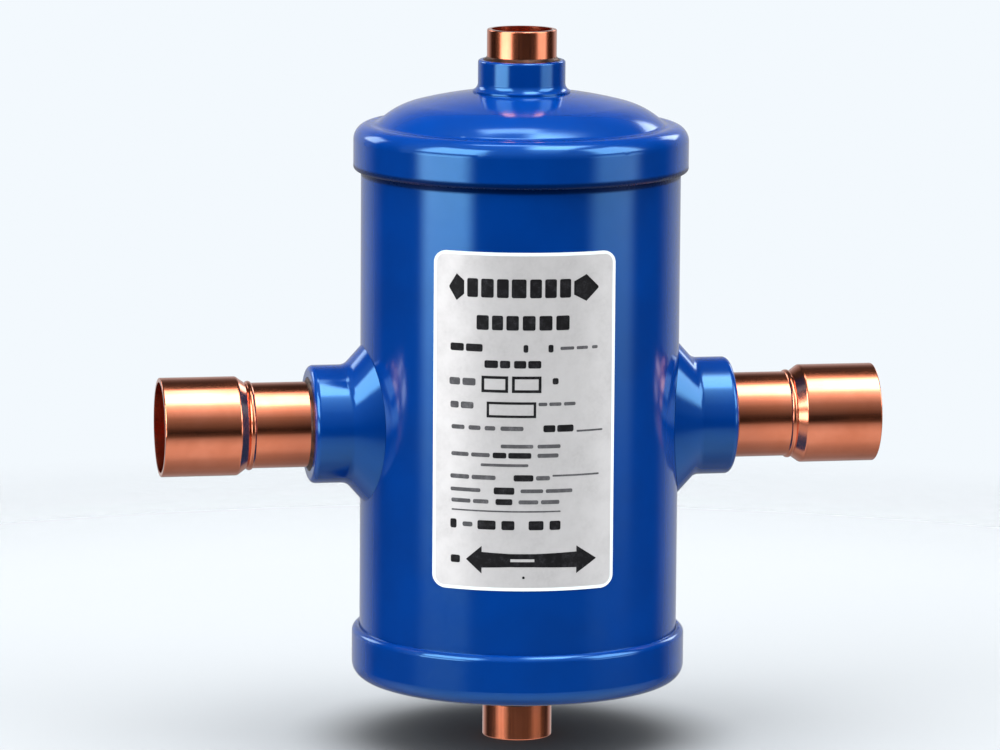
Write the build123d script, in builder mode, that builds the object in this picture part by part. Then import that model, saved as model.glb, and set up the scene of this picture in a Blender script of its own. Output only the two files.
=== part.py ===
from build123d import *
from math import acos, atan2, cos, hypot, radians, sin, sqrt
import os

# Filter drier for a refrigeration line, flow in either direction between the
# two side connections. Millimetres, +Z up. The origin is the centre of the
# open end of the bottom stub, on the axis of the shell. The side connections
# point along +X and -X, and the label faces -Y.

os.makedirs("parts", exist_ok=True)

# ---- pressure shell: tube and two pressed caps ----------------------------
shell_diameter = 101.6      # four inch tube
shell_wall = 2.5
exposed_shell = 146.9       # bare tube between the edges of the cap skirts
cap_wall = 2.3
lap_gap = 0.15              # brazing gap between a skirt and the tube
knuckle_radius = 5.0        # bend between skirt and shoulder, outside
shoulder_width = 2.3        # flat ring between the knuckle and the dome
dome_corner = 25.0          # bend between the crown of a dome and its foot
valley_radius = 2.4         # hollow bend where the dome starts
tube_end_gap = 0.3          # end of the tube below the bend of the knuckle

bottom_skirt = 16.6         # shoulder to edge, bottom cap
bottom_rise = 3.0           # dome above its shoulder, bottom cap
bottom_crown = 500.0        # radius of the crown of the dome, bottom cap
bottom_lip_radius = 2.0     # rounding of the skirt's edge, bottom cap
top_skirt = 14.6
top_rise = 11.1
top_crown = 136.0
top_lip_radius = 1.2

# ---- collars on the caps, with copper stubs -------------------------------
stub_bore = 19.15           # takes three quarter inch tube
stub_wall = 1.5
stub_depth = 16.0           # bore down to the stop for the tube
stub_stop = 1.0             # step that the tube stops on
stub_inside = 3.0           # stub past the inner face of the cap
top_stub_length = 9.7       # free end above the collar
bottom_stub_length = 12.0
collar_wall = 2.7
top_collar_height = 9.4     # above the crown of the dome
bottom_collar_height = 4.4
collar_flare = 1.6          # how far the foot runs out past the collar
collar_flare_height = 2.2
collar_round = 0.8          # rounding of the collar's outer end
toe_height = 0.5            # height of a foot where it runs out
weld_gap = 0.05             # film between a foot and what it is welded to
braze_gap = 0.1             # filler film between a stub and its collar

# ---- side connections -----------------------------------------------------
port_rise = 83.1            # port axis above the bottom shoulder
boss_wall = 5.1
boss_length = 17.3          # shell's surface to the outer face of a boss
boss_foot_length = 5.4      # sloped foot, from the shell out along the boss
boss_foot_high = 6.1        # how far the foot runs out above and below the boss
boss_foot_side = 1.0        # how far it runs out in front and behind
boss_foot_round = 4.0       # hollow bend between boss and foot
boss_round = 1.8
copper_wall = 1.4
neck_step = 2.15            # neck slimmer than the socket, on the radius
neck_inset = 2.3            # neck end inside the inner face of the shell
socket_bore = 28.7          # takes one and an eighth inch tube
socket_depth = 22.8
tube_length = 47.5          # face of a boss to the mouth of its socket
shoulder_length = 3.0       # taper from socket down to neck
shoulder_round = 1.4
bead_width = 2.0            # rolled bead beside the shoulder
bead_height = 0.6
mouth_round = 0.4
braze_chamfer = 1.3         # seat of the filler ring in a boss or collar
braze_climb = 1.0           # filler up the copper, past the face
braze_film = 0.03

# ---- label ----------------------------------------------------------------
label_width = 56.5          # measured straight across, not round the tube
label_low = 20.5            # from the edge of the bottom skirt
label_high = 19.8           # from the edge of the top skirt
label_turn = -8.6           # degrees from the front towards the left
label_corner = 4.0
label_thickness = 0.17
label_glue = 0.03

# ---- drying core ----------------------------------------------------------
flow_space = 6.2            # between the wrapped block and the shell
core_bore = 24.0
core_chamfer = 1.0
wrap_thickness = 2.0
gasket_thickness = 2.0
sheet = 1.2                 # plates and spring seat
plate_bend = 2.0            # outer bend of a core plate
plate_rim = 6.0
plate_neck = 5.0
plate_gap = 0.3             # rim of a plate inside the shell
inner_gap = 0.1             # seats of the loose inner pieces
centre_tube_diameter = 20.0
centre_tube_wall = 0.9
centre_tube_overhang = 2.0  # tube past the necks of the plates
screen_thickness = 0.7
perforation = 4.4           # holes of the centre tube
perforation_pitch = 12.0
perforations_round = 6

# ---- spring, stand, dividers, port screens --------------------------------
spring_inset = 18.3         # middle of the wire from the inside of the shell
spring_length = 27.1
wire_diameter = 3.2
spring_turns = 4
seat_lip = 3.0
stand_inset = 13.3          # outside of the stand from the inside of the shell
stand_height = 15.1
stand_wall = 1.5
window_width = 14.0
window_height = 7.0
windows = 4
divider_thickness = 2.0
divider_foot = 10.0
divider_foot_thickness = 1.5
divider_gap = 0.25
cup_wall = 0.7              # screen cups
cup_rim = 3.0
cup_rise = 3.0
cup_corner = 1.2
cup_hole = 3.0
cup_hole_rings = ((0.3, 4), (0.62, 8))      # share of the cup's radius, holes

# ---- sizes that follow ----------------------------------------------------
shell_radius = shell_diameter / 2
shell_inside = shell_radius - shell_wall
cap_radius = shell_radius + lap_gap + cap_wall
dome_foot = cap_radius - knuckle_radius - shoulder_width
top_dome = (top_rise, top_crown)
bottom_dome = (bottom_rise, bottom_crown)
base_height = bottom_rise + bottom_collar_height + bottom_stub_length
bottom_edge = base_height + bottom_skirt
top_edge = bottom_edge + exposed_shell
top_shoulder = top_edge + top_skirt
port_height = base_height + port_rise
stub_radius = stub_bore / 2 + stub_wall
collar_bore = stub_radius + braze_gap
collar_radius = collar_bore + collar_wall
socket_radius = socket_bore / 2 + copper_wall
neck_radius = socket_radius - neck_step
neck_bore = neck_radius - copper_wall
neck_end = shell_inside - neck_inset
boss_bore = neck_radius + braze_gap
boss_radius = boss_bore + boss_wall
boss_reach = shell_radius + boss_length
socket_reach = boss_reach + tube_length

wrap_radius = shell_inside - flow_space
wrap_inside = wrap_radius - wrap_thickness
core_radius = wrap_inside - inner_gap
centre_tube_radius = centre_tube_diameter / 2
screen_inside = centre_tube_radius + inner_gap
plate_hole = centre_tube_radius + inner_gap
plate_radius = shell_inside - plate_gap


def dome_height(dome, radius, lift=0.0):
    """Height over the shoulder, at a radius, of the crown lifted off by lift."""
    rise, crown = dome
    return rise - crown + sqrt((crown + lift) ** 2 - radius**2)


def corner_start(dome):
    """Angle at the crown's centre, from the axis to where the corner begins."""
    rise, crown = dome
    to_foot = hypot(dome_foot, crown - rise)
    to_corner = crown - dome_corner
    foot_angle = atan2(dome_foot, crown - rise)
    return foot_angle - acos((to_corner**2 + to_foot**2 - dome_corner**2) / (2 * to_corner * to_foot))


def crown_arc(dome, start, end, lift=0.0):
    """Arc along the crown from one radius to another."""
    points = [(radius, dome_height(dome, radius, lift)) for radius in (start, (start + end) / 2, end)]
    return ThreePointArc(*points)


# ---- stack inside the shell: stand, plate, gasket, block, gasket, plate, spring
stand_radius = shell_inside - stand_inset
stand_low = base_height - dome_height(bottom_dome, stand_radius, -cap_wall) + inner_gap
stand_high = stand_low + stand_height
gasket_step = gasket_thickness + 2 * inner_gap
lower_plate_face = stand_high + inner_gap + sheet       # the face on the gasket
core_low = lower_plate_face + gasket_step

wire_radius = wire_diameter / 2
spring_radius = shell_inside - spring_inset
seat_outside = spring_radius + wire_radius + sheet
seat_inside = spring_radius - wire_radius - inner_gap - sheet
seat_top = top_shoulder + dome_height(top_dome, seat_outside, -cap_wall) - inner_gap
seat_low = seat_top - sheet
spring_high = seat_low - inner_gap
spring_low = spring_high - spring_length
upper_plate_face = spring_low - inner_gap - sheet
core_high = upper_plate_face - gasket_step
core_length = core_high - core_low


# A cap is drawn over its shoulder: first axis outward, second away from the
# middle of the drier. The bottom cap uses the same drawing upside down.
top_plane = Plane(origin=(0, 0, top_shoulder), x_dir=(1, 0, 0), z_dir=(0, -1, 0))
bottom_plane = Plane(origin=(0, 0, base_height), x_dir=(1, 0, 0), z_dir=(0, 1, 0))


def cap_section(skirt, dome, lip_radius):
    """Section of a pressed cap: the outer line, given the wall thickness."""
    with BuildSketch() as section:
        with BuildLine() as outline:
            bend_start = (cap_radius, -knuckle_radius)
            bend_end = (cap_radius - knuckle_radius, 0)
            Line((cap_radius, -skirt), bend_start)
            RadiusArc(bend_start, bend_end, -knuckle_radius)
            Line(bend_end, (dome_foot, 0))
            turn = corner_start(dome)
            corner_top = (dome[1] * sin(turn), dome_height(dome, dome[1] * sin(turn)))
            RadiusArc((dome_foot, 0), corner_top, -dome_corner)
            crown_arc(dome, corner_top[0], collar_bore / 2)
            valley = outline.vertices().sort_by_distance((dome_foot, 0))[0]
            fillet(valley, valley_radius)
            offset(amount=cap_wall, side=Side.LEFT)
        make_face()
        lip = section.vertices().sort_by_distance((cap_radius, -skirt))[0]
        fillet(lip, lip_radius)
    return section.sketch


def collar_section(dome, height):
    """Section of a collar whose foot runs out over the dome."""
    foot = collar_radius + collar_flare
    toe = dome_height(dome, foot, weld_gap) + toe_height
    flare_top = dome_height(dome, collar_radius, weld_gap) + toe_height + collar_flare_height
    end = dome[0] + height
    flare_top = min(flare_top, end - collar_round)
    with BuildSketch() as section:
        with BuildLine():
            Line((collar_bore, dome_height(dome, collar_bore, weld_gap)), (collar_bore, end - braze_chamfer))
            Line((collar_bore, end - braze_chamfer), (collar_bore + braze_chamfer, end))
            Line((collar_bore + braze_chamfer, end), (collar_radius, end))
            Line((collar_radius, end), (collar_radius, flare_top))
            TangentArc((collar_radius, flare_top), (foot, toe), tangent=(0, -1))
            Line((foot, toe), (foot, dome_height(dome, foot, weld_gap)))
            crown_arc(dome, foot, collar_bore, weld_gap)
        make_face()
        rim = section.vertices().sort_by_distance((collar_radius, end))[0]
        fillet(rim, collar_round)
    return section.sketch


def filler_section(radius, face):
    """Section of a filler ring seated in a chamfer: radius outward, face up."""
    root = radius + braze_film
    with BuildSketch() as section:
        with BuildLine():
            bottom = (root, face - braze_chamfer + 2 * braze_gap)
            top = (root, face + braze_climb)
            outer = (radius + braze_chamfer - braze_gap, face)
            Line(top, bottom)
            Line(bottom, outer)
            RadiusArc(outer, top, braze_chamfer + braze_climb)
        make_face()
    return section.sketch


# ---- shell ----------------------------------------------------------------
shell_low = base_height + knuckle_radius + tube_end_gap
shell_high = top_shoulder - knuckle_radius - tube_end_gap

with BuildPart() as shell_body:
    with BuildSketch(Plane.XY.offset(shell_low)):
        Circle(shell_radius)
        Circle(shell_inside, mode=Mode.SUBTRACT)
    extrude(amount=shell_high - shell_low)
    with BuildSketch(Plane.YZ.offset(-cap_radius)):
        with Locations((0, port_height)):
            Circle(boss_bore)
    extrude(amount=2 * cap_radius, mode=Mode.SUBTRACT)
shell_body.part.label = "shell_body"
export_step(shell_body.part, "parts/shell_body.step")

with BuildPart() as top_cap:
    with BuildSketch(top_plane):
        add(cap_section(top_skirt, top_dome, top_lip_radius))
    revolve(axis=Axis.Z)
    with BuildSketch(Plane.XY.offset(top_shoulder)):
        Circle(collar_bore)
    extrude(amount=top_skirt, both=True, mode=Mode.SUBTRACT)
top_cap.part.label = "top_cap"
export_step(top_cap.part, "parts/top_cap.step")

with BuildPart() as bottom_cap:
    with BuildSketch(bottom_plane):
        add(cap_section(bottom_skirt, bottom_dome, bottom_lip_radius))
    revolve(axis=Axis.Z)
    with BuildSketch(Plane.XY.offset(base_height)):
        Circle(collar_bore)
    extrude(amount=bottom_skirt, both=True, mode=Mode.SUBTRACT)
bottom_cap.part.label = "bottom_cap"
export_step(bottom_cap.part, "parts/bottom_cap.step")

# ---- collars, stubs and their filler rings, one set on each cap -----------
ends = (
    ("top", top_plane, top_dome, top_collar_height, top_stub_length),
    ("bottom", bottom_plane, bottom_dome, bottom_collar_height, bottom_stub_length),
)
for end_name, end_plane, dome, collar_height, stub_length in ends:
    collar_face = dome[0] + collar_height
    stub_low = dome_height(dome, collar_bore) - cap_wall - stub_inside
    stub_high = collar_face + stub_length

    with BuildPart() as collar:
        with BuildSketch(end_plane):
            add(collar_section(dome, collar_height))
        revolve(axis=Axis.Z)
    collar.part.label = f"{end_name}_collar"
    export_step(collar.part, f"parts/{end_name}_collar.step")

    with BuildPart() as stub:
        with BuildSketch(end_plane) as wall:
            with BuildLine():
                stop_height = stub_high - stub_depth
                inner_bore = stub_bore / 2 - stub_stop
                Polyline(
                    (inner_bore, stub_low),
                    (stub_radius, stub_low),
                    (stub_radius, stub_high),
                    (stub_bore / 2, stub_high),
                    (stub_bore / 2, stop_height),
                    (inner_bore, stop_height),
                    close=True,
                )
            make_face()
            fillet(wall.vertices().sort_by_distance((stub_radius, stub_high))[0], mouth_round)
        revolve(axis=Axis.Z)
    stub.part.label = f"{end_name}_stub"
    export_step(stub.part, f"parts/{end_name}_stub.step")

    with BuildPart() as filler:
        with BuildSketch(end_plane):
            add(filler_section(stub_radius, collar_face))
        revolve(axis=Axis.Z)
    filler.part.label = f"{end_name}_braze"
    export_step(filler.part, f"parts/{end_name}_braze.step")

# ---- side connections: boss, copper tube, filler ring, screen -------------
# Sections are drawn with the first axis outward from the shell axis and the
# second away from the port axis.
shoulder_end = socket_reach - socket_depth - copper_wall
shoulder_start = shoulder_end - shoulder_length
port_axis = Axis((0, 0, port_height), (1, 0, 0))

with BuildSketch() as tube_section:
    with BuildLine():
        bead_start = (shoulder_start - bead_width, neck_radius)
        bead_crest = (shoulder_start - bead_width / 2, neck_radius + bead_height)
        bead_end = (shoulder_start, neck_radius)
        ThreePointArc(bead_start, bead_crest, bead_end)
        Polyline(
            bead_end,
            (shoulder_end, socket_radius),
            (socket_reach, socket_radius),
            (socket_reach, socket_bore / 2),
            (socket_reach - socket_depth, socket_bore / 2),
            (shoulder_start, neck_bore),
            (neck_end, neck_bore),
            (neck_end, neck_radius),
            bead_start,
        )
    make_face()
    fillet(tube_section.vertices().sort_by_distance((shoulder_end, socket_radius))[0], shoulder_round)
    fillet(tube_section.vertices().sort_by_distance((socket_reach, socket_radius))[0], mouth_round)

port_filler_section = filler_section(neck_radius, boss_reach)

# The foot of a boss slopes out in a straight line: steeply above and below,
# where the shell is upright, and little in front and behind, where it falls
# away. It is drawn past the shell and then cut to it.
foot_start = shell_radius + boss_foot_length
foot_run = 2 * boss_foot_length
high_slope = boss_foot_high / boss_foot_length
side_slope = boss_foot_side / boss_foot_length

for side, outward in (("left", -1), ("right", 1)):
    across = Plane(origin=(0, 0, port_height), x_dir=(0, 1, 0), z_dir=(outward, 0, 0))
    along = Plane(origin=(0, 0, port_height), x_dir=(outward, 0, 0), z_dir=(0, -outward, 0))

    with BuildPart() as boss:
        with BuildSketch(across.offset(foot_start)):
            Circle(boss_radius)
        with BuildSketch(across.offset(foot_start - foot_run)):
            Ellipse(boss_radius + foot_run * side_slope, boss_radius + foot_run * high_slope)
        loft(ruled=True)
        with BuildSketch(across.offset(foot_start)):
            Circle(boss_radius)
        extrude(amount=boss_reach - foot_start)
        bend = boss.edges().filter_by(GeomType.CIRCLE).group_by(Axis.X)[-2 if outward > 0 else 1]
        fillet(bend, boss_foot_round)
        with BuildSketch(Plane.XY.offset(port_height)):
            Circle(shell_radius + weld_gap)
        extrude(amount=2 * boss_radius, both=True, mode=Mode.SUBTRACT)
        with BuildSketch(across):
            Circle(boss_bore)
        extrude(amount=boss_reach, mode=Mode.SUBTRACT)
        outer_rims = boss.edges().filter_by(GeomType.CIRCLE).group_by(Axis.X)[-1 if outward > 0 else 0]
        fillet(outer_rims.sort_by(SortBy.RADIUS)[-1], boss_round)
        outer_rims = boss.edges().filter_by(GeomType.CIRCLE).group_by(Axis.X)[-1 if outward > 0 else 0]
        chamfer(outer_rims.sort_by(SortBy.RADIUS)[0], braze_chamfer)
    boss.part.label = f"{side}_boss"
    export_step(boss.part, f"parts/{side}_boss.step")

    with BuildPart() as tube:
        with BuildSketch(along):
            add(tube_section.sketch)
        revolve(axis=port_axis)
    tube.part.label = f"{side}_tube"
    export_step(tube.part, f"parts/{side}_tube.step")

    with BuildPart() as filler:
        with BuildSketch(along):
            add(port_filler_section, rotation=-90)
        revolve(axis=port_axis)
    filler.part.label = f"{side}_braze"
    export_step(filler.part, f"parts/{side}_braze.step")

# ---- drying core ----------------------------------------------------------
with BuildPart() as core_block:
    with BuildSketch(Plane.XY.offset(core_low)):
        Circle(core_radius)
        Circle(core_bore / 2, mode=Mode.SUBTRACT)
    extrude(amount=core_length)
    ends_of_block = core_block.faces().filter_by(Axis.Z).edges()
    chamfer(ends_of_block.filter_by(lambda edge: edge.radius > core_bore / 2), core_chamfer)
core_block.part.label = "core_block"
export_step(core_block.part, "parts/core_block.step")

with BuildPart() as core_wrap:
    with BuildSketch(Plane.XY.offset(core_low)):
        Circle(wrap_radius)
        Circle(wrap_inside, mode=Mode.SUBTRACT)
    extrude(amount=core_length)
core_wrap.part.label = "core_wrap"
export_step(core_wrap.part, "parts/core_wrap.step")

gaskets = (("bottom", lower_plate_face + inner_gap), ("top", core_high + inner_gap))
for end_name, gasket_low in gaskets:
    with BuildPart() as gasket:
        with BuildSketch(Plane.XY.offset(gasket_low)):
            Circle(wrap_radius)
            Circle(core_bore / 2, mode=Mode.SUBTRACT)
        extrude(amount=gasket_thickness)
    gasket.part.label = f"{end_name}_core_gasket"
    export_step(gasket.part, f"parts/{end_name}_core_gasket.step")

# Core plates: one pressing, drawn from the face on the gasket outward, with
# a neck round the centre tube and a rim bent back over the end of the core.
lower_plane = Plane(origin=(0, 0, lower_plate_face), x_dir=(1, 0, 0), z_dir=(0, 1, 0))
upper_plane = Plane(origin=(0, 0, upper_plate_face), x_dir=(1, 0, 0), z_dir=(0, -1, 0))
for end_name, plate_plane in (("bottom", lower_plane), ("top", upper_plane)):
    with BuildPart() as plate:
        with BuildSketch(plate_plane):
            with BuildLine() as pressing:
                neck_top = (plate_hole + sheet, plate_neck)
                neck_root = (plate_hole + sheet, sheet)
                rim_root = (plate_radius, sheet)
                rim_edge = (plate_radius, sheet - plate_rim)
                Polyline(neck_top, neck_root, rim_root, rim_edge)
                fillet(pressing.vertices().sort_by_distance(neck_root)[0], plate_bend - sheet)
                fillet(pressing.vertices().sort_by_distance(rim_root)[0], plate_bend)
                offset(amount=sheet, side=Side.RIGHT)
            make_face()
        revolve(axis=Axis.Z)
    plate.part.label = f"{end_name}_core_plate"
    export_step(plate.part, f"parts/{end_name}_core_plate.step")

# Centre tube: rings of holes, every other ring turned by half a hole pitch.
tube_low = lower_plate_face - plate_neck - centre_tube_overhang
tube_high = upper_plate_face + plate_neck + centre_tube_overhang
rings = int((core_length - perforation_pitch) / perforation_pitch)
first_ring = (core_low + core_high) / 2 - (rings - 1) * perforation_pitch / 2
half_pitch = 180 / perforations_round

with BuildPart() as core_tube:
    with BuildSketch(Plane.XY.offset(tube_low)):
        Circle(centre_tube_radius)
        Circle(centre_tube_radius - centre_tube_wall, mode=Mode.SUBTRACT)
    extrude(amount=tube_high - tube_low)
    for ring in range(rings):
        with Locations((0, 0, first_ring + ring * perforation_pitch)):
            with PolarLocations(0, perforations_round // 2, half_pitch * (ring % 2), 180):
                through = (perforation / 2, 2 * centre_tube_diameter)
                Cylinder(*through, rotation=(0, 90, 0), mode=Mode.SUBTRACT)
core_tube.part.label = "core_tube"
export_step(core_tube.part, "parts/core_tube.step")

# Screen cups: pressed, perforated, crown outward. One in the inner end of each
# port tube and one in each end of the centre tube.
port_cup = neck_bore - inner_gap
tube_cup = centre_tube_radius - centre_tube_wall - inner_gap
cups = (
    ("left_port_screen", (-neck_end, 0, port_height), (-1, 0, 0), port_cup, 0),
    ("right_port_screen", (neck_end, 0, port_height), (1, 0, 0), port_cup, 0),
    ("top_tube_screen", (0, 0, tube_high - cup_rim), (0, 0, 1), tube_cup, 0),
    ("bottom_tube_screen", (0, 0, tube_low + cup_rim), (0, 0, -1), tube_cup, 1),
)
for cup_name, cup_origin, outward, cup_radius, turned in cups:
    cup_plane = Plane(origin=cup_origin, x_dir=(0, 1, 0), z_dir=outward)
    side_plane = Plane(origin=cup_origin, x_dir=cup_plane.x_dir, z_dir=-cup_plane.y_dir)
    with BuildPart() as cup:
        with BuildSketch(side_plane):
            with BuildLine() as wall_line:
                rim_end = (cup_radius, cup_rim)
                Line((cup_radius, 0), rim_end)
                TangentArc((0, cup_rim + cup_rise), rim_end, tangent=(1, 0))
                fillet(wall_line.vertices().sort_by_distance(rim_end)[0], cup_corner)
                offset(amount=cup_wall, side=Side.LEFT)
            make_face()
        revolve(axis=Axis(cup_origin, outward))
        with BuildSketch(cup_plane):
            for share, count in cup_hole_rings:
                with PolarLocations(cup_radius * share, count, start_angle=turned * 180 / count):
                    Circle(cup_hole / 2)
        extrude(amount=cup_rim + cup_rise, mode=Mode.SUBTRACT)
    cup.part.label = cup_name
    export_step(cup.part, f"parts/{cup_name}.step")

with BuildPart() as core_screen:
    with BuildSketch(Plane.XY.offset(core_low)):
        Circle(screen_inside + screen_thickness)
        Circle(screen_inside, mode=Mode.SUBTRACT)
    extrude(amount=core_length)
core_screen.part.label = "core_screen"
export_step(core_screen.part, "parts/core_screen.step")

# ---- spring between the upper core plate and the dome of the top cap ------
spring_pitch = spring_length / spring_turns

with BuildPart() as spring_seat:
    with BuildSketch(Plane.XY.offset(seat_low)):
        Circle(seat_outside)
        Circle(seat_inside, mode=Mode.SUBTRACT)
    extrude(amount=sheet)
    with BuildSketch(Plane.XY.offset(seat_low)):
        Circle(seat_inside + sheet)
        Circle(seat_inside, mode=Mode.SUBTRACT)
    extrude(amount=-seat_lip)
spring_seat.part.label = "spring_seat"
export_step(spring_seat.part, "parts/spring_seat.step")

# The coil runs from seat to seat and is ground flat where it bears.
with BuildPart() as core_spring:
    with BuildLine() as coil:
        Helix(spring_pitch, spring_length, spring_radius, center=(0, 0, spring_low))
    with BuildSketch(coil.line ^ 0):
        Circle(wire_radius)
    sweep(is_frenet=True)
    with BuildSketch(Plane.XY.offset(spring_low)):
        Circle(seat_outside)
    extrude(amount=spring_length, mode=Mode.INTERSECT)
core_spring.part.label = "core_spring"
export_step(core_spring.part, "parts/core_spring.step")

# ---- stand under the core, with windows along its lower edge --------------
with BuildPart() as support_ring:
    with BuildSketch(Plane.XY.offset(stand_low)):
        Circle(stand_radius)
        Circle(stand_radius - stand_wall, mode=Mode.SUBTRACT)
    extrude(amount=stand_height)
    with Locations((0, 0, stand_low)):
        with PolarLocations(0, windows // 2, start_angle=45, angular_range=180):
            Box(4 * stand_radius, window_width, window_height * 2, mode=Mode.SUBTRACT)
support_ring.part.label = "support_ring"
export_step(support_ring.part, "parts/support_ring.step")

# ---- dividers between the left and the right half of the space round the core
divider_low = lower_plate_face + plate_rim - sheet + divider_gap
divider_high = upper_plate_face - plate_rim + sheet - divider_gap
foot_outside = shell_inside - divider_gap
foot_inside = foot_outside - divider_foot_thickness
for place, forward in (("front", -1), ("back", 1)):
    with BuildPart() as divider:
        with BuildSketch(Plane.XY.offset(divider_low)):
            with Locations((0, forward * foot_inside)):
                Rectangle(divider_foot, 2 * divider_foot_thickness)
            with Locations((0, forward * (wrap_radius + divider_gap + flow_space / 2))):
                Rectangle(divider_thickness, flow_space)
            Circle(foot_outside, mode=Mode.INTERSECT)
        extrude(amount=divider_high - divider_low)
    divider.part.label = f"{place}_divider"
    export_step(divider.part, f"parts/{place}_divider.step")

# ---- label: foil cut to a rounded rectangle and bent round the shell ------
label_inside = shell_radius + label_glue
turn = radians(label_turn)
label_height = exposed_shell - label_low - label_high
label_middle = bottom_edge + label_low + label_height / 2
label_plane = Plane(
    origin=(0, 0, label_middle), x_dir=(cos(turn), sin(turn), 0), z_dir=(sin(turn), -cos(turn), 0)
)
with BuildPart() as label:
    with BuildSketch(Plane.XY.offset(bottom_edge)):
        Circle(label_inside + label_thickness)
        Circle(label_inside, mode=Mode.SUBTRACT)
    extrude(amount=exposed_shell)
    with BuildSketch(label_plane):
        RectangleRounded(label_width, label_height, label_corner)
    extrude(amount=shell_diameter, mode=Mode.INTERSECT)
label.part.label = "label"
export_step(label.part, "parts/label.step")
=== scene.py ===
from math import cos, radians, sin

import bmesh
import bpy
from mathutils import Matrix, Vector


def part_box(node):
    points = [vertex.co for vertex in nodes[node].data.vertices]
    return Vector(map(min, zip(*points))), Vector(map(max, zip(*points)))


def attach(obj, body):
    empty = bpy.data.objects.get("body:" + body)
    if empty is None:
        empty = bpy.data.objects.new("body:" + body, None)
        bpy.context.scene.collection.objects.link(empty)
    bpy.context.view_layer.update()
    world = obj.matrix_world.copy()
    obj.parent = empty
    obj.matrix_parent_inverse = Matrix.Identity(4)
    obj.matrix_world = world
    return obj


# Filter drier: blue enamelled shell with pressed caps, copper sockets at both
# sides, copper stubs above and below, foil label in front.

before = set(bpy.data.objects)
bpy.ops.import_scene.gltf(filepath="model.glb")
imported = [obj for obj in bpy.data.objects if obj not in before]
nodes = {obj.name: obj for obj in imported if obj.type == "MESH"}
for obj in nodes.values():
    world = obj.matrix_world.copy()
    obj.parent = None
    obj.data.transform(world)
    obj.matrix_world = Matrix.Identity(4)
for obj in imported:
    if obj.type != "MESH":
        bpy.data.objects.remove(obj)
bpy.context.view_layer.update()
mm = 0.001


def middleHeight(name):
    low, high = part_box(name)
    return (low[2] + high[2]) / 2


# Camera
camera = {
    "lens": 216,
    "sensor": 36,
    "farthest": 20,         # metres, past which nothing is drawn
    "azimuth": -10.331,     # degrees, from the front towards the left
    "elevation": 8.96,
    "roll": 0.40,
    "distance": 1.915,      # metres from the aim point
    "across": -6.2 * mm,    # aim point, beside and above the axis of the side tubes
    "rise": 14.3 * mm,
}


def makeCamera(settings):
    azimuth = radians(settings["azimuth"])
    elevation = radians(settings["elevation"])
    roll = radians(settings["roll"])
    level = cos(elevation)
    back = Vector((sin(azimuth) * level, -cos(azimuth) * level, sin(elevation)))
    right = Vector((cos(azimuth), sin(azimuth), 0))
    up = back.cross(right)
    height = middleHeight("right_tube") + settings["rise"]
    aim = right * settings["across"] + Vector((0, 0, height))
    rolledRight = right * cos(roll) + up * sin(roll)
    rolledUp = up * cos(roll) - right * sin(roll)
    lens = bpy.data.cameras.new("camera")
    lens.lens = settings["lens"]
    lens.sensor_width = settings["sensor"]
    lens.clip_end = settings["farthest"]
    item = bpy.data.objects.new("camera", lens)
    bpy.context.collection.objects.link(item)
    turn = Matrix((rolledRight, rolledUp, back)).transposed().to_4x4()
    item.matrix_world = Matrix.Translation(aim + back * settings["distance"]) @ turn
    bpy.context.scene.camera = item


makeCamera(camera)
bpy.context.scene.view_settings.view_transform = "Standard"
print("camera set")


# Node helpers
def addNode(tree, kind, **settings):
    node = tree.nodes.new(kind)
    for name, value in settings.items():
        setattr(node, name, value)
    return node


def setInputs(node, **values):
    for name, value in values.items():
        node.inputs[name].default_value = value


def maths(tree, operation, *values):
    node = addNode(tree, "ShaderNodeMath", operation=operation)
    for index, value in enumerate(values):
        if isinstance(value, (int, float)):
            node.inputs[index].default_value = value
        else:
            tree.links.new(value, node.inputs[index])
    return node.outputs[0]


def times(tree, value, *others):
    for other in others:
        value = maths(tree, "MULTIPLY", value, other)
    return value


def plus(tree, value, *others):
    for other in others:
        value = maths(tree, "ADD", value, other)
    return value


def splitAxes(tree, vector):
    axes = addNode(tree, "ShaderNodeSeparateXYZ")
    tree.links.new(vector, axes.inputs["Vector"])
    return axes.outputs


def spread(tree, value, low, high, toLow=0.0, toHigh=1.0, smooth=False):
    change = addNode(tree, "ShaderNodeMapRange")
    if smooth:
        change.interpolation_type = "SMOOTHSTEP"
    tree.links.new(value, change.inputs["Value"])
    setInputs(change, **{"From Min": low, "From Max": high, "To Min": toLow, "To Max": toHigh})
    return change.outputs["Result"]


def smoothBand(tree, value, middle, half, soft):
    # 1 inside the band, fading to 0 over the soft width at both of its edges
    away = maths(tree, "ABSOLUTE", maths(tree, "SUBTRACT", value, middle))
    return spread(tree, away, half - soft / 2, half + soft / 2, 1, 0, smooth=True)


def blendColours(tree, share, first, second):
    mix = addNode(tree, "ShaderNodeMix", data_type="RGBA")
    tree.links.new(share, mix.inputs["Factor"])
    for name, colour in (("A", first), ("B", second)):
        if isinstance(colour, tuple):
            mix.inputs[name].default_value = (*colour, 1)
        else:
            tree.links.new(colour, mix.inputs[name])
    return mix.outputs["Result"]


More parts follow.
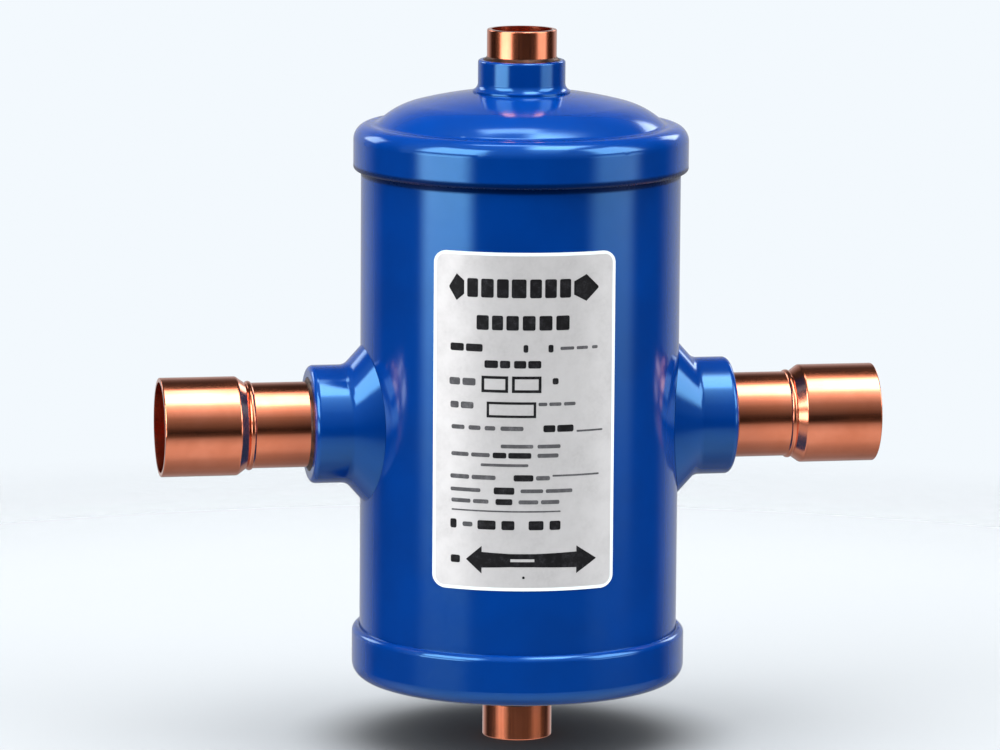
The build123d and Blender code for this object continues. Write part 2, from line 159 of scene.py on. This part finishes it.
# Studio
# Directions are seen from the object, in degrees. Side is the angle round from
# the camera, to the right positive; lift is the angle above the horizon; pitch
# runs from the horizon at the camera, over the top, to the horizon behind;
# across is the angle out of the upright plane through the camera. A band of
# them is (middle, half width, soft width of its edges), and steps are (angle,
# level). What shows in the gloss is narrow and bright: upright panels at the
# sides, a strip over the crown, a light overhead, and weak light from in front,
# from the ground and from behind. What lights the paint is broad and soft.
studio = {
    "paper": (0.896, 0.947, 0.991),
    "panels": (
        dict(side=(-55, 19, 12), lift=(-1, 7.2, 6), strength=5.3),
        dict(side=(-52, 24, 10), lift=(34, 18, 6), strength=6.4),
        dict(side=(70, 17, 14), lift=(-1, 7.2, 6), strength=2.2),
        dict(side=(74, 19, 10), lift=(33, 18, 6), strength=5.2),
        dict(side=(-132, 10, 5), lift=(21, 9, 5), strength=3.5),
        dict(side=(148, 8, 5), lift=(23, 7, 4), strength=4.0),
    ),
    "crown": dict(pitch=(101, 4.5, 4), across=(-4, 10, 5), strength=5.0),
    "overhead": {
        "across": (14, 10, 8),
        "steps": (
            (30, 0), (36, 0.35), (43, 0.6), (50, 1.0), (57, 1.5), (62, 2.2),
            (66, 4.5), (69, 8.5), (92, 8.5), (96, 4.5), (101, 1.0), (108, 0),
        ),
    },
    "front": {
        "steps": (
            (0, 0.04), (8, 0.13), (15, 0.2), (22, 0.28), (29, 0.36),
            (36, 0.36), (92, 0.3), (110, 0.05), (135, 0),
        ),
    },
    "ground": {
        "steps": (
            (-90, 0.35), (-75, 0.5), (-61, 0.85), (-37, 0.92), (-22, 0.66),
            (-17, 0.35), (-14.5, 0.1), (-12, 0.03), (0, 0.0),
        ),
        "dimBy": 0.5,       # how far away from the camera it has dimmed, 1 straight behind
        "dimmed": 0.35,
    },
    "behind": {
        "steps": (
            (-90, 0.0), (-20, 0.1), (-13, 0.55), (5, 0.6), (20, 0.45),
            (28, 0.24), (36, 0.12), (43, 0.06), (65, 0.03),
        ),
        "starts": 0.42,     # how far away from the camera it starts, and is full
        "full": 0.85,
    },
    "soft": {
        "lamps": (
            dict(side=(-55, 22, 20), strength=1.6),
            dict(side=(70, 22, 20), strength=1.6),
        ),
        "lift": (24, 30, 20),
        "sides": 1.0,
        "sidesPower": 2,    # a higher power keeps it nearer to straight at the side
        "top": 9.0,
        "topPower": 4,
        "fill": 0.03,
    },
}


def stepped(tree, value, low, high, steps):
    # a curve through the steps, with the value's range from low to high
    peak = max(level for _, level in steps)
    ramp = addNode(tree, "ShaderNodeValToRGB")
    tree.links.new(spread(tree, value, low, high), ramp.inputs["Fac"])
    stops = ramp.color_ramp.elements
    while len(stops) < len(steps):
        stops.new(1.0)
    for stop, (angle, _) in zip(stops, steps):
        stop.position = (angle - low) / (high - low)
    for stop, (_, level) in zip(stops, steps):
        stop.color = (level / peak, level / peak, level / peak, 1)
    return times(tree, ramp.outputs["Color"], peak)


def makeGloss(tree, settings, side, lift, pitch, across, away, up):
    crown, overhead, front = settings["crown"], settings["overhead"], settings["front"]
    ground, behind = settings["ground"], settings["behind"]
    below = maths(tree, "LESS_THAN", up, 0.0)
    dimming = spread(tree, away, 0, ground["dimBy"], 1, ground["dimmed"])
    layers = [times(tree, stepped(tree, lift, -90, 0, ground["steps"]), below, dimming)]
    for panel in settings["panels"]:
        sideMask = smoothBand(tree, side, *panel["side"])
        liftMask = smoothBand(tree, lift, *panel["lift"])
        layers.append(times(tree, sideMask, liftMask, panel["strength"]))
    pitchMask = smoothBand(tree, pitch, *crown["pitch"])
    acrossMask = smoothBand(tree, across, *crown["across"])
    layers.append(times(tree, pitchMask, acrossMask, crown["strength"]))
    acrossMask = smoothBand(tree, across, *overhead["across"])
    layers.append(times(tree, stepped(tree, pitch, 0, 180, overhead["steps"]), acrossMask))
    above = maths(tree, "GREATER_THAN", up, 0.0)
    layers.append(times(tree, stepped(tree, pitch, 0, 180, front["steps"]), above))
    rear = spread(tree, away, behind["starts"], behind["full"], smooth=True)
    layers.append(times(tree, stepped(tree, lift, -90, 90, behind["steps"]), rear))
    return plus(tree, *layers)


def makeSoftLight(tree, soft, side, lift, right, up):
    lamps = []
    for lamp in soft["lamps"]:
        lamps.append(times(tree, smoothBand(tree, side, *lamp["side"]), lamp["strength"]))
    lamps = times(tree, plus(tree, *lamps), smoothBand(tree, lift, *soft["lift"]))
    sideways = maths(tree, "POWER", maths(tree, "ABSOLUTE", right), soft["sidesPower"])
    upwards = maths(tree, "POWER", maths(tree, "MAXIMUM", up, 0.0), soft["topPower"])
    sides = times(tree, sideways, soft["sides"])
    top = times(tree, upwards, soft["top"])
    return plus(tree, lamps, sides, top, soft["fill"])


def makeWorld(settings):
    world = bpy.data.worlds.new("studio")
    bpy.context.scene.world = world
    world.use_nodes = True
    tree = world.node_tree
    background = tree.nodes["Background"]
    where = addNode(tree, "ShaderNodeTexCoord")
    turned = addNode(tree, "ShaderNodeVectorRotate", rotation_type="Z_AXIS")
    tree.links.new(where.outputs["Generated"], turned.inputs["Vector"])
    setInputs(turned, Angle=-radians(camera["azimuth"]))
    right, away, up = splitAxes(tree, turned.outputs["Vector"])
    toCamera = times(tree, away, -1)
    side = maths(tree, "DEGREES", maths(tree, "ARCTAN2", right, toCamera))
    lift = maths(tree, "DEGREES", maths(tree, "ARCSINE", up))
    pitch = maths(tree, "DEGREES", maths(tree, "ARCTAN2", up, toCamera))
    across = maths(tree, "DEGREES", maths(tree, "ARCSINE", right))
    gloss = makeGloss(tree, settings, side, lift, pitch, across, away, up)
    light = makeSoftLight(tree, settings["soft"], side, lift, right, up)

    rays = addNode(tree, "ShaderNodeLightPath")
    split = addNode(tree, "ShaderNodeMix", data_type="FLOAT")
    tree.links.new(rays.outputs["Is Diffuse Ray"], split.inputs["Factor"])
    tree.links.new(gloss, split.inputs["A"])
    tree.links.new(light, split.inputs["B"])
    lit = addNode(tree, "ShaderNodeCombineXYZ")
    for axis in "XYZ":
        tree.links.new(split.outputs["Result"], lit.inputs[axis])
    toEye = rays.outputs["Is Camera Ray"]
    seen = blendColours(tree, toEye, lit.outputs["Vector"], settings["paper"])
    tree.links.new(seen, background.inputs["Color"])
    setInputs(background, Strength=1)


makeWorld(studio)

floor = {
    "radius": 0.62,
    "segments": 96,
    "drop": 0.2 * mm,                   # below the end of the lower stub
    "colour": (0.25, 0.264, 0.276),
    "rough": 0.9,
    "gloss": 0.1,
    "fade": (0.3, 0.55),                # radii over which it fades out
    "shade": 0.35,                      # share of its colour left under the drier
    "shadeReach": (35 * mm, 78 * mm),   # radii over which the shade ends
}


def makeFloor(settings):
    mesh = bpy.data.meshes.new("floor")
    shape = bmesh.new()
    bmesh.ops.create_circle(
        shape, cap_ends=True, segments=settings["segments"], radius=settings["radius"])
    bmesh.ops.translate(shape, vec=(0, 0, -settings["drop"]), verts=shape.verts)
    shape.to_mesh(mesh)
    shape.free()
    item = bpy.data.objects.new("floor", mesh)
    bpy.context.collection.objects.link(item)
    paint = bpy.data.materials.new("floor")
    paint.use_nodes = True
    tree = paint.node_tree
    shader = tree.nodes["Principled BSDF"]
    setInputs(shader, **{"Roughness": settings["rough"], "Specular IOR Level": settings["gloss"]})
    where = addNode(tree, "ShaderNodeTexCoord")
    reach = addNode(tree, "ShaderNodeVectorMath", operation="LENGTH")
    tree.links.new(where.outputs["Object"], reach.inputs[0])
    reach = reach.outputs["Value"]
    fade = spread(tree, reach, *settings["fade"], smooth=True)
    shade = spread(tree, reach, *settings["shadeReach"], smooth=True)
    dark = tuple(level * settings["shade"] for level in settings["colour"])
    colour = blendColours(tree, shade, dark, settings["colour"])
    tree.links.new(colour, shader.inputs["Base Color"])
    rays = addNode(tree, "ShaderNodeLightPath")
    clearing = maths(tree, "MAXIMUM", fade, rays.outputs["Is Glossy Ray"])
    clear = addNode(tree, "ShaderNodeBsdfTransparent")
    mix = addNode(tree, "ShaderNodeMixShader")
    tree.links.new(clearing, mix.inputs["Fac"])
    tree.links.new(shader.outputs["BSDF"], mix.inputs[1])
    tree.links.new(clear.outputs["BSDF"], mix.inputs[2])
    tree.links.new(mix.outputs["Shader"], tree.nodes["Material Output"].inputs["Surface"])
    mesh.materials.append(paint)


makeFloor(floor)
print("studio set")


# Pattern nodes
# Every pattern runs on object coordinates, in metres. A noise is (waves per
# metre, detail, roughness).
noiseRange = (0.3, 0.7)     # nearly all of a noise lies between these


def newPaint(name):
    paint = bpy.data.materials.new(name)
    paint.use_nodes = True
    tree = paint.node_tree
    where = addNode(tree, "ShaderNodeTexCoord").outputs["Object"]
    return paint, tree, tree.nodes["Principled BSDF"], where


def stretched(tree, where, scale):
    turn = addNode(tree, "ShaderNodeMapping")
    tree.links.new(where, turn.inputs["Vector"])
    setInputs(turn, Scale=scale)
    return turn.outputs["Vector"]


def noise(tree, where, scale, detail, roughness):
    cloud = addNode(tree, "ShaderNodeTexNoise")
    tree.links.new(where, cloud.inputs["Vector"])
    setInputs(cloud, Scale=scale, Detail=detail, Roughness=roughness)
    return cloud.outputs["Fac"]


def evened(tree, cloud, toLow=0.0, toHigh=1.0):
    return spread(tree, cloud, *noiseRange, toLow, toHigh)


def relief(tree, shader, *layers):
    # each layer is a height between 0 and 1 and the depth it stands for, in metres
    normal = None
    for height, depth in layers:
        bump = addNode(tree, "ShaderNodeBump")
        tree.links.new(height, bump.inputs["Height"])
        setInputs(bump, Strength=1.0, Distance=depth)
        if normal is not None:
            tree.links.new(normal, bump.inputs["Normal"])
        normal = bump.outputs["Normal"]
    tree.links.new(normal, shader.inputs["Normal"])


def feed(tree, shader, **values):
    for name, value in values.items():
        tree.links.new(value, shader.inputs[name.replace("_", " ")])


# Blue enamel
enamel = {
    "thin": (0.0, 0.031, 0.203),
    "thick": (0.0, 0.0245, 0.166),
    "tint": (0.22, 0.6, 1.0),
    "index": 1.95,
    "cloud": (38, 3, 0.55),         # thin to thick, and glossy to matt
    "matt": (0.09, 0.13),
    "grain": (900, 2, 0.5),
    "grainMatt": 0.03,
    "flow": (55, 2, 0.5),           # long waves of the sprayed surface
    "flowDepth": 0.02 * mm,
    "peel": (420, 2, 0.5),          # short ones
    "peelDepth": 0.0035 * mm,
    "lipShade": (                     # painted shade: a dark, dull band on the enamel just under the top cap's lip
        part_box("top_cap")[0][2] + 0.1 * mm,     # height
        1.8 * mm,                               # half width
        1.0 * mm,                               # soft width of its edges
    ),
    "lipShadeColour": (0.0, 0.009, 0.055),
    "lipShadeMatt": 0.15,
}


def makeEnamel(look):
    paint, tree, shader, where = newPaint("blue_enamel")
    cloud = noise(tree, where, *look["cloud"])
    grain = noise(tree, where, *look["grain"])
    lipShade = smoothBand(tree, splitAxes(tree, where)["Z"], *look["lipShade"])
    colour = blendColours(tree, evened(tree, cloud), look["thin"], look["thick"])
    # painted shade: the enamel colour turns dark in the band under the top cap's lip
    colour = blendColours(tree, lipShade, colour, look["lipShadeColour"])
    matt = plus(
        tree, evened(tree, cloud, *look["matt"]), evened(tree, grain, 0, look["grainMatt"]),
        times(tree, lipShade, look["lipShadeMatt"]))
    # painted shade in the gloss: the reflection tint turns dark in the same band
    tint = blendColours(tree, lipShade, look["tint"], look["lipShadeColour"])
    feed(tree, shader, Base_Color=colour, Roughness=matt, Specular_Tint=tint)
    setInputs(shader, IOR=look["index"])
    flow = noise(tree, where, *look["flow"])
    peel = noise(tree, where, *look["peel"])
    relief(tree, shader, (flow, look["flowDepth"]), (peel, look["peelDepth"]))
    return paint


# Copper
copper = {
    "bright": (0.83, 0.265, 0.145),
    "dull": (0.74, 0.215, 0.105),
    "heated": (0.50, 0.14, 0.07),
    "heatFrom": 86 * mm,            # from the middle of the drier, towards the boss
    "heatFull": 70 * mm,
    "heatMost": 0.5,                # share of the heated colour there
    "heatWander": 5 * mm,
    "blotch": (70, 3, 0.6),         # bright to dull
    "blotchRange": (0.35, 0.65),
    "matt": (0.15, 0.2),
    "drawn": 26,                    # waves per metre along the tube, and across it
    "fine": 1500,
    "line": (1.0, 3, 0.6),
    "lineMatt": 0.06,
    "lineDepth": 0.004 * mm,
    "dent": (90, 1, 0.5),
    "dentDepth": 0.03 * mm,
    "speck": (800, 2, 0.6),
    "speckDepth": 0.001 * mm,
    "coat": 0.5,
    "coatMatt": 0.06,
}


def makeCopper(look, name, scale, heatAxis):
    paint, tree, shader, where = newPaint(name)
    lines = noise(tree, stretched(tree, where, scale), *look["line"])
    blotch = noise(tree, where, *look["blotch"])
    dent = noise(tree, where, *look["dent"])
    speck = noise(tree, where, *look["speck"])
    share = spread(tree, blotch, *look["blotchRange"])
    colour = blendColours(tree, share, look["bright"], look["dull"])
    if heatAxis:
        reach = maths(tree, "ABSOLUTE", splitAxes(tree, where)[heatAxis])
        wander = spread(tree, blotch, 0, 1, -look["heatWander"], look["heatWander"])
        heat = spread(
            tree, plus(tree, reach, wander), look["heatFull"], look["heatFrom"],
            look["heatMost"], 0, smooth=True)
        colour = blendColours(tree, heat, colour, look["heated"])
    matt = plus(tree, evened(tree, blotch, *look["matt"]), evened(tree, lines, 0, look["lineMatt"]))
    feed(tree, shader, Base_Color=colour, Roughness=matt)
    setInputs(shader, **{
        "Metallic": 1.0, "Coat Weight": look["coat"], "Coat Roughness": look["coatMatt"]})
    relief(
        tree, shader,
        (lines, look["lineDepth"]), (dent, look["dentDepth"]), (speck, look["speckDepth"]))
    return paint


# Brazing filler, near-black: partly flux-darkened braze, partly painted shade in the gaps where the
# copper enters the enamel
filler = {
    "dark": (0.035, 0.018, 0.014),
    "warm": (0.16, 0.065, 0.04),
    "metal": 0.8,
    "cloud": (260, 4, 0.6),         # dark to warm
    "cloudRange": (0.4, 0.75),
    "cloudDepth": 0.1 * mm,
    "ripple": (700, 3, 0.6),
    "rippleDepth": 0.08 * mm,
    "matt": (0.3, 0.5),
}


def makeFiller(look):
    paint, tree, shader, where = newPaint("filler")
    cloud = noise(tree, where, *look["cloud"])
    ripple = noise(tree, where, *look["ripple"])
    share = spread(tree, cloud, *look["cloudRange"])
    # the dark colour stands partly for painted shade in the gap round each tube
    colour = blendColours(tree, share, look["dark"], look["warm"])
    feed(tree, shader, Base_Color=colour, Roughness=evened(tree, ripple, *look["matt"]))
    setInputs(shader, Metallic=look["metal"])
    relief(tree, shader, (ripple, look["rippleDepth"]), (cloud, look["cloudDepth"]))
    return paint


# Foil label
label = {
    "turn": radians(-8.6),          # its middle, from the front towards the left
    "radius": 51.0 * mm,
    "half": (29.9 * mm, 53.3 * mm),
    "middle": middleHeight("label"),
    "corner": 4.0 * mm,
    "border": 0.9 * mm,
    "borderSoft": 0.15 * mm,
    "foil": (0.53, 0.525, 0.53),
    "worn": (0.44, 0.435, 0.44),
    "paper": (0.72, 0.82, 0.84),
    "metal": 0.35,
    "cloud": (130, 4, 0.6),         # foil to worn
    "cloudRange": (0.35, 0.7),
    "cloudDepth": 0.01 * mm,
    "matt": (0.30, 0.38),
    "speck": (900, 2, 0.6),
    "speckLeast": 0.5,
    "brushed": (2600, 2600, 25),    # waves per metre of the brushed lines
    "line": (1.0, 2, 0.6),
    "lineMatt": 0.06,
    "lineDepth": 0.0015 * mm,
}


def foilBorder(tree, look, where):
    # 0 inside the border of the label, 1 on it, with round corners
    place = splitAxes(tree, where)
    turn = maths(tree, "ARCTAN2", place["X"], times(tree, place["Y"], -1))
    along = times(tree, maths(tree, "SUBTRACT", turn, look["turn"]), look["radius"])
    height = maths(tree, "SUBTRACT", place["Z"], look["middle"])
    squares = []
    for value, half in zip((along, height), look["half"]):
        past = maths(tree, "SUBTRACT", maths(tree, "ABSOLUTE", value), half - look["corner"])
        squares.append(maths(tree, "POWER", maths(tree, "MAXIMUM", past, 0.0), 2))
    reach = maths(tree, "SQRT", plus(tree, *squares))
    starts = look["corner"] - look["border"]
    return spread(tree, reach, starts - look["borderSoft"], starts)


def makeFoil(look):
    paint, tree, shader, where = newPaint("label_foil")
    edge = foilBorder(tree, look, where)
    brushed = noise(tree, stretched(tree, where, look["brushed"]), *look["line"])
    cloud = noise(tree, where, *look["cloud"])
    speck = noise(tree, where, *look["speck"])
    worn = times(
        tree, spread(tree, cloud, *look["cloudRange"]), evened(tree, speck, look["speckLeast"], 1))
    colour = blendColours(tree, worn, look["foil"], look["worn"])
    colour = blendColours(tree, edge, colour, look["paper"])
    metal = spread(tree, edge, 0, 1, look["metal"], 0)
    matt = plus(
        tree, evened(tree, cloud, *look["matt"]), evened(tree, brushed, 0, look["lineMatt"]))
    feed(tree, shader, Base_Color=colour, Metallic=metal, Roughness=matt)
    relief(tree, shader, (brushed, look["lineDepth"]), (cloud, look["cloudDepth"]))
    return paint


# Inner pieces
inner = {
    "plated_steel": dict(
        light=(0.60, 0.59, 0.56), dark=(0.40, 0.40, 0.39), metal=1.0, matt=(0.22, 0.38),
        cloud=(140, 4, 0.6), fine=(1400, 3, 0.6), depth=0.01 * mm),
    "spring_steel": dict(
        light=(0.20, 0.19, 0.19), dark=(0.09, 0.085, 0.09), metal=1.0, matt=(0.2, 0.36),
        cloud=(120, 4, 0.6), fine=(1800, 3, 0.6), depth=0.01 * mm),
    "wire_gauze": dict(
        light=(0.56, 0.54, 0.50), dark=(0.20, 0.19, 0.18), metal=1.0, matt=(0.3, 0.45),
        cloud=(200, 4, 0.6), fine=(2600, 3, 0.6), depth=0.12 * mm),
    "felt": dict(
        light=(0.66, 0.65, 0.60), dark=(0.46, 0.45, 0.41), metal=0.0, matt=(0.9, 1.0),
        cloud=(90, 4, 0.6), fine=(2200, 3, 0.6), depth=0.25 * mm),
    "desiccant": dict(
        light=(0.72, 0.65, 0.50), dark=(0.50, 0.43, 0.31), metal=0.0, matt=(0.85, 0.97),
        cloud=(110, 4, 0.6), fine=(1100, 3, 0.6), depth=0.5 * mm),
}
leastFine = 0.4     # share of the dark colour that the fine pattern leaves everywhere


def makeInner(name, look):
    paint, tree, shader, where = newPaint(name)
    cloud = noise(tree, where, *look["cloud"])
    fine = noise(tree, where, *look["fine"])
    share = times(tree, evened(tree, cloud), evened(tree, fine, leastFine, 1))
    colour = blendColours(tree, share, look["light"], look["dark"])
    feed(tree, shader, Base_Color=colour, Roughness=evened(tree, fine, *look["matt"]))
    setInputs(shader, Metallic=look["metal"])
    relief(tree, shader, (fine, look["depth"]))
    return paint


# A finish for every node
def dress(name, paint):
    item = nodes[name]
    if not item.data.materials:
        item.data.materials.append(paint)
    for place in item.material_slots:
        place.link = "OBJECT"
        place.material = paint


drawn, fine = copper["drawn"], copper["fine"]
blueEnamel = makeEnamel(enamel)
sideCopper = makeCopper(copper, "copper", (drawn, fine, fine), "X")
endCopper = makeCopper(copper, "stub_copper", (fine, fine, drawn), None)
darkFiller = makeFiller(filler)
labelFoil = makeFoil(label)
inside = {name: makeInner(name, look) for name, look in inner.items()}

finishes = {
    "shell_body": blueEnamel, "top_cap": blueEnamel, "bottom_cap": blueEnamel,
    "top_collar": blueEnamel, "bottom_collar": blueEnamel,
    "left_boss": blueEnamel, "right_boss": blueEnamel,
    "left_tube": sideCopper, "right_tube": sideCopper,
    "top_stub": endCopper, "bottom_stub": endCopper,
    "left_braze": darkFiller, "right_braze": darkFiller,
    "top_braze": darkFiller, "bottom_braze": darkFiller,
    "label": labelFoil,
    "core_block": inside["desiccant"],
    "core_spring": inside["spring_steel"],
    "core_wrap": inside["felt"],
    "top_core_gasket": inside["felt"], "bottom_core_gasket": inside["felt"],
    "core_screen": inside["wire_gauze"],
    "left_port_screen": inside["wire_gauze"], "right_port_screen": inside["wire_gauze"],
    "top_tube_screen": inside["wire_gauze"], "bottom_tube_screen": inside["wire_gauze"],
}
for name in nodes:
    dress(name, finishes.get(name, inside["plated_steel"]))
print("finishes set on", len(nodes), "nodes")


# Print on the label
# Plain bars where the real label has its wording, and a double arrow for flow
# either way. Millimetres: height up the drier, and place along the label from
# its middle, to the right positive. A row is (middle height, height, bars).
labelPrint = {
    "proud": 0.012 * mm,
    "thickness": 0.012 * mm,
    "column": 1.6,          # longest step of a bar along the curve
    "near": 0.0001,         # a cut this near a corner goes through it
    "join": 0.001 * mm,
    "rounding": 0.5,
    "heavy": (
        (151.9, 5.9, (
            (-18.4, -14.9), (-13.9, -9.9), (-8.9, -5.2), (-4.3, 0.3), (1.4, 5.1),
            (6.1, 9.8), (10.8, 14.4))),
        (141.1, 4.6, (
            (-15.3, -11.4), (-10.4, -6.9), (-5.9, -2.0), (-0.8, 3.2), (4.4, 8.5),
            (9.7, 14.0))),
        (133.1, 2.4, ((-23.9, -19.4), (-18.7, -13.3), (-0.5, 1.0), (7.3, 8.9))),
        (128.1, 2.4, ((-12.7, -8.4), (-7.8, -4.6), (-3.4, 0.4), (1.0, 5.1))),
        (122.8, 2.0, ((8.7, 10.6),)),
        (107.9, 2.2, ((5.9, 9.7), (10.3, 15.6))),
        (99.4, 1.8, ((-9.9, -5.6), (-5.0, 2.2))),
        (92.3, 2.0, ((-3.3, 2.9),)),
        (88.2, 2.2, ((-9.5, -3.0),)),
        (84.7, 1.9, ((-8.9, -3.6),)),
        (77.3, 2.9, ((-23.6, -21.5), (-14.6, -8.8), (-7.0, -2.9), (1.5, 6.2), (8.1, 11.6))),
        (66.1, 2.4, ((-23.4, -20.3),)),
        (60.8, 0.8, ((-0.4, 0.4),)),
    ),
    "light": (
        (133.1, 1.0, ((11.1, 15.6), (16.4, 20.2), (21.6, 23.6))),
        (122.3, 2.3, ((-24.2, -20.6), (-19.8, -15.5))),
        (114.9, 2.1, ((-23.8, -21.0), (-20.3, -16.1))),
        (115.6, 1.1, ((4.3, 7.1), (7.7, 11.6), (12.4, 16.2))),
        (107.9, 1.4, ((-23.4, -19.0), (-17.7, -13.8), (-12.5, -9.1), (-7.5, -0.3))),
        (106.9, 0.6, ((16.6, 25.6),)),
        (102.3, 1.2, ((-7.4, 2.8), (4.1, 11.4))),
        (99.4, 1.3, ((-23.4, -17.6), (-16.8, -10.8), (4.1, 10.8))),
        (96.3, 0.9, ((-13.7, 1.3),)),
        (92.3, 1.4, ((-23.7, -17.4), (-16.6, -8.9), (3.7, 8.1))),
        (93.0, 0.6, ((8.9, 24.4),)),
        (88.2, 1.2, ((-23.6, -13.7), (-1.1, 6.0), (6.8, 15.4))),
        (84.7, 1.3, ((-23.3, -16.9), (-16.1, -11.1), (-1.7, 4.5), (5.3, 11.2))),
        (81.7, 0.5, ((-23.2, 11.6),)),
        (77.3, 1.5, ((-19.5, -16.2),)),
    ),
    "frames": (             # middle height, height, start, end, line
        (121.8, 5.2, -13.6, -5.2, 0.9),
        (121.8, 5.2, -4.0, 5.2, 0.9),
        (113.8, 5.0, -11.9, 3.6, 0.8),
    ),
    "arrow": {
        "middle": 66.2, "tips": (-18.2, 23.6), "heads": (-13.2, 16.9), "head": 8.8,
        "point": 0.2, "shaft": 5.0, "waist": 4.2, "slit": (-4.1, 3.4), "slitHeight": 0.9,
    },
    "chevronPoint": 0.6,
    "chevrons": (           # middle height, height, tip, base
        (151.9, 8.4, -24.4, -19.4),
        (151.9, 8.4, 23.7, 15.4),
    ),
}

def addPatch(shape, middle, start, end, leftHeight, rightHeight, rounding=0.0):
    corners = bmesh.ops.create_grid(shape, x_segments=1, y_segments=1, size=0.5)["verts"]
    for side, height in ((-1, leftHeight), (1, rightHeight)):
        edge = [corner for corner in corners if corner.co.x * side > 0]
        bmesh.ops.scale(shape, vec=(end - start, height, 1), verts=edge)
    bmesh.ops.translate(shape, vec=((start + end) / 2, middle, 0), verts=corners)
    cut = min(rounding, leftHeight / 3, (end - start) / 3)
    if cut > 0:
        bmesh.ops.bevel(
            shape, geom=corners, offset=cut, segments=2, profile=0.5, affect="VERTICES",
            material=-1)


def wrapOnLabel(shape, settings):
    # flat sheet, in millimetres, cut into narrow columns and laid round the shell
    low = min(vert.co.x for vert in shape.verts)
    high = max(vert.co.x for vert in shape.verts)
    place = low + settings["column"]
    while place < high:
        everything = list(shape.verts) + list(shape.edges) + list(shape.faces)
        bmesh.ops.bisect_plane(
            shape, geom=everything, dist=settings["near"], plane_co=(place, 0, 0),
            plane_no=(1, 0, 0))
        place += settings["column"]
    radius = label["radius"] + settings["proud"]
    for vert in shape.verts:
        turn = label["turn"] + vert.co.x * mm / label["radius"]
        vert.co = (radius * sin(turn), -radius * cos(turn), vert.co.y * mm)


def facesInwards(face):
    outward = Vector((*face.calc_center_median().xy, 0))
    return face.normal.dot(outward) < 0


def buildPrint(name, paint, settings, makePatches):
    shape = bmesh.new()
    makePatches(shape, settings)
    wrapOnLabel(shape, settings)
    bmesh.ops.remove_doubles(shape, verts=shape.verts, dist=settings["join"])
    bmesh.ops.recalc_face_normals(shape, faces=shape.faces)
    inward = [face for face in shape.faces if facesInwards(face)]
    bmesh.ops.reverse_faces(shape, faces=inward)
    bmesh.ops.solidify(shape, geom=list(shape.faces), thickness=-settings["thickness"])
    mesh = bpy.data.meshes.new(name)
    shape.to_mesh(mesh)
    shape.free()
    mesh.materials.append(paint)
    item = bpy.data.objects.new(name, mesh)
    bpy.context.collection.objects.link(item)
    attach(item, "root")


def addBars(shape, rows, rounding):
    for middle, height, bars in rows:
        for start, end in bars:
            addPatch(shape, middle, start, end, height, height, rounding)


def heavyPatches(shape, settings):
    addBars(shape, settings["heavy"], settings["rounding"])
    point = settings["chevronPoint"]
    for middle, height, tip, base in settings["chevrons"]:
        half = (tip + base) / 2
        if tip < base:
            addPatch(shape, middle, tip, half, point, height)
            addPatch(shape, middle, half, base, height, height / 2)
        else:
            addPatch(shape, middle, base, half, height / 2, height)
            addPatch(shape, middle, half, tip, height, point)


def arrowPatches(shape, settings):
    arrow = settings["arrow"]
    middle, point, head = arrow["middle"], arrow["point"], arrow["head"]
    shaft, waist = arrow["shaft"], arrow["waist"]
    (leftTip, rightTip), (leftHead, rightHead) = arrow["tips"], arrow["heads"]
    slitStart, slitEnd = arrow["slit"]
    bar = (waist - arrow["slitHeight"]) / 2
    addPatch(shape, middle, leftTip, leftHead, point, head)
    addPatch(shape, middle, leftHead, slitStart, shaft, waist)
    for side in (-1, 1):
        addPatch(shape, middle + side * (waist - bar) / 2, slitStart, slitEnd, bar, bar)
    addPatch(shape, middle, slitEnd, rightHead, waist, shaft)
    addPatch(shape, middle, rightHead, rightTip, head, point)


def lightPatches(shape, settings):
    addBars(shape, settings["light"], settings["rounding"])


def framePatches(shape, settings):
    for middle, height, start, end, line in settings["frames"]:
        before = set(shape.faces)
        addPatch(shape, middle, start, end, height, height)
        panes = [face for face in shape.faces if face not in before]
        bmesh.ops.inset_region(
            shape, faces=panes, thickness=line, use_boundary=True, use_even_offset=True)
        bmesh.ops.delete(shape, geom=panes, context="FACES")


# Printing ink, thinner for the small print
ink = {
    "cloud": (500, 3, 0.6),
    "cloudRange": (0.45, 0.75),
    "grain": (2400, 2, 0.5),
    "grainDepth": 0.004 * mm,
    "matt": (0.5, 0.65),
    "gloss": 0.15,
    "black": ((0.004, 0.004, 0.005), (0.03, 0.03, 0.035)),     # full and faded
    "thin": ((0.06, 0.06, 0.065), (0.16, 0.16, 0.17)),
}


def makeInk(name, look, dark, faded):
    paint, tree, shader, where = newPaint(name)
    cloud = noise(tree, where, *look["cloud"])
    grain = noise(tree, where, *look["grain"])
    share = times(tree, spread(tree, cloud, *look["cloudRange"]), evened(tree, grain))
    colour = blendColours(tree, share, dark, faded)
    feed(tree, shader, Base_Color=colour, Roughness=evened(tree, cloud, *look["matt"]))
    setInputs(shader, **{"Specular IOR Level": look["gloss"]})
    relief(tree, shader, (grain, look["grainDepth"]))
    return paint


blackInk = makeInk("black_ink", ink, *ink["black"])
thinInk = makeInk("thin_ink", ink, *ink["thin"])

buildPrint("label_heavy_print", blackInk, labelPrint, heavyPatches)
buildPrint("label_arrow_print", blackInk, labelPrint, arrowPatches)
buildPrint("label_light_print", thinInk, labelPrint, lightPatches)
buildPrint("label_frame_print", blackInk, labelPrint, framePatches)
print("label print set")
